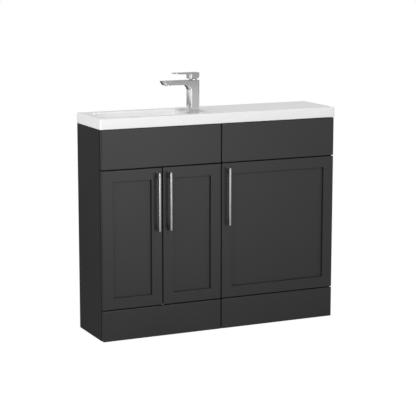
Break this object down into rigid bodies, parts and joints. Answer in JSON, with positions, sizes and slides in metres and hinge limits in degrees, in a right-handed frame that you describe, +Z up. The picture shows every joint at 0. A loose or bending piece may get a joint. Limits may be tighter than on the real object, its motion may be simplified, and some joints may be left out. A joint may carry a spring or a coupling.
{
  "type": "bathroom basin and cupboard unit",
  "caption": "Slimline floor-standing bathroom unit: a basin cabinet and a cupboard side by side under a moulded basin worktop with a side-mounted mixer tap, bar handles and panelled doors.",
  "frame": {"origin": "centre of the unit's footprint box, handles included, on the floor", "axes": "+X to the right along the front, +Y back to the wall, +Z up"},
  "size_m": [1.006, 0.285, 1.0075],
  "materials": {
    "anthracite_board": "satin lacquered board",
    "back_board": "thin melamine-faced back board",
    "beech": "plain beech dowel",
    "handle_nickel": "satin nickel plating on zinc",
    "hinge_steel": "nickel-plated pressed steel",
    "zinc_steel": "bright zinc plated",
    "chrome_brass": "polished chrome",
    "cast_marble": "gloss gel coat",
    "rubber": "matte",
    "white_plastic": "smooth white polypropylene",
    "grey_plastic": "smooth nylon"
  },
  "bodies": {
    "cabinet": {"basin_cabinet_left_side": "anthracite_board", "basin_cabinet_right_side": "anthracite_board", "basin_cabinet_base": "anthracite_board", "basin_cabinet_back": "back_board", "basin_cabinet_rails": "anthracite_board", "basin_cabinet_shelf": "anthracite_board", "basin_cabinet_fascia": "anthracite_board", "basin_cabinet_plinth": "anthracite_board", "cupboard_left_side": "anthracite_board", "cupboard_right_side": "anthracite_board", "cupboard_base": "anthracite_board", "cupboard_back": "back_board", "cupboard_rails": "anthracite_board", "cupboard_shelf": "anthracite_board", "cupboard_fascia": "anthracite_board", "cupboard_plinth": "anthracite_board", "corner_dowels": "beech", "corner_blocks": "white_plastic", "shelf_pins": "zinc_steel", "cabinet_bolts": "zinc_steel", "door_bumpers": "grey_plastic", "left_hinge_arms": "hinge_steel", "middle_hinge_arms": "hinge_steel", "right_hinge_arms": "hinge_steel", "hinge_plates": "hinge_steel", "hinge_plate_screws": "zinc_steel", "basin_worktop": "cast_marble", "overflow_ring": "chrome_brass", "waste_body": "chrome_brass", "waste_washers": "rubber", "waste_back_nut": "chrome_brass", "trap_inlet_nut": "white_plastic", "trap_body": "white_plastic", "trap_bottle": "white_plastic", "trap_outlet_pipe": "white_plastic", "tap_base_seal": "rubber", "tap_body": "chrome_brass", "tap_fixing": "zinc_steel", "aerator": "chrome_brass", "tap_cartridge": "grey_plastic", "cartridge_nut": "chrome_brass"},
    "left_door": {"left_door": "anthracite_board", "left_handle": "handle_nickel", "left_handle_screws": "zinc_steel", "left_hinge_cups": "hinge_steel", "left_hinge_pins": "zinc_steel"},
    "middle_door": {"middle_door": "anthracite_board", "middle_handle": "handle_nickel", "middle_handle_screws": "zinc_steel", "middle_hinge_cups": "hinge_steel", "middle_hinge_pins": "zinc_steel"},
    "right_door": {"right_door": "anthracite_board", "right_handle": "handle_nickel", "right_handle_screws": "zinc_steel", "right_hinge_cups": "hinge_steel", "right_hinge_pins": "zinc_steel"},
    "carrier": {"cartridge_carrier": "grey_plastic"},
    "lever": {"tap_lever": "chrome_brass", "lever_spindle": "zinc_steel"},
    "plug": {"waste_plug": "chrome_brass"}
  },
  "joints": [
    {"name": "left_door_hinge", "type": "hinge", "parent": "cabinet", "child": "left_door", "pos_m": [-0.49145, -0.1047, 0.3925], "axis": [0, 0, -1], "range_deg": [0, 95]},
    {"name": "middle_door_hinge", "type": "hinge", "parent": "cabinet", "child": "middle_door", "pos_m": [-0.00855, -0.1047, 0.3925], "axis": [0, 0, 1], "range_deg": [0, 95]},
    {"name": "right_door_hinge", "type": "hinge", "parent": "cabinet", "child": "right_door", "pos_m": [0.49145, -0.1047, 0.3925], "axis": [0, 0, 1], "range_deg": [0, 95]},
    {"name": "tap_temperature_turn", "type": "hinge", "parent": "cabinet", "child": "carrier", "pos_m": [-0.064, 0.015, 0.975], "axis": [0, 0, 1], "range_deg": [-45, 45]},
    {"name": "tap_flow_lift", "type": "hinge", "parent": "carrier", "child": "lever", "pos_m": [-0.064, 0.015, 0.981], "axis": [0, 1, 0], "range_deg": [0, 25]},
    {"name": "waste_plug_slide", "type": "slide", "parent": "cabinet", "child": "plug", "axis": [0, 0, 1], "range_m": [0, 0.007]}
  ]
}
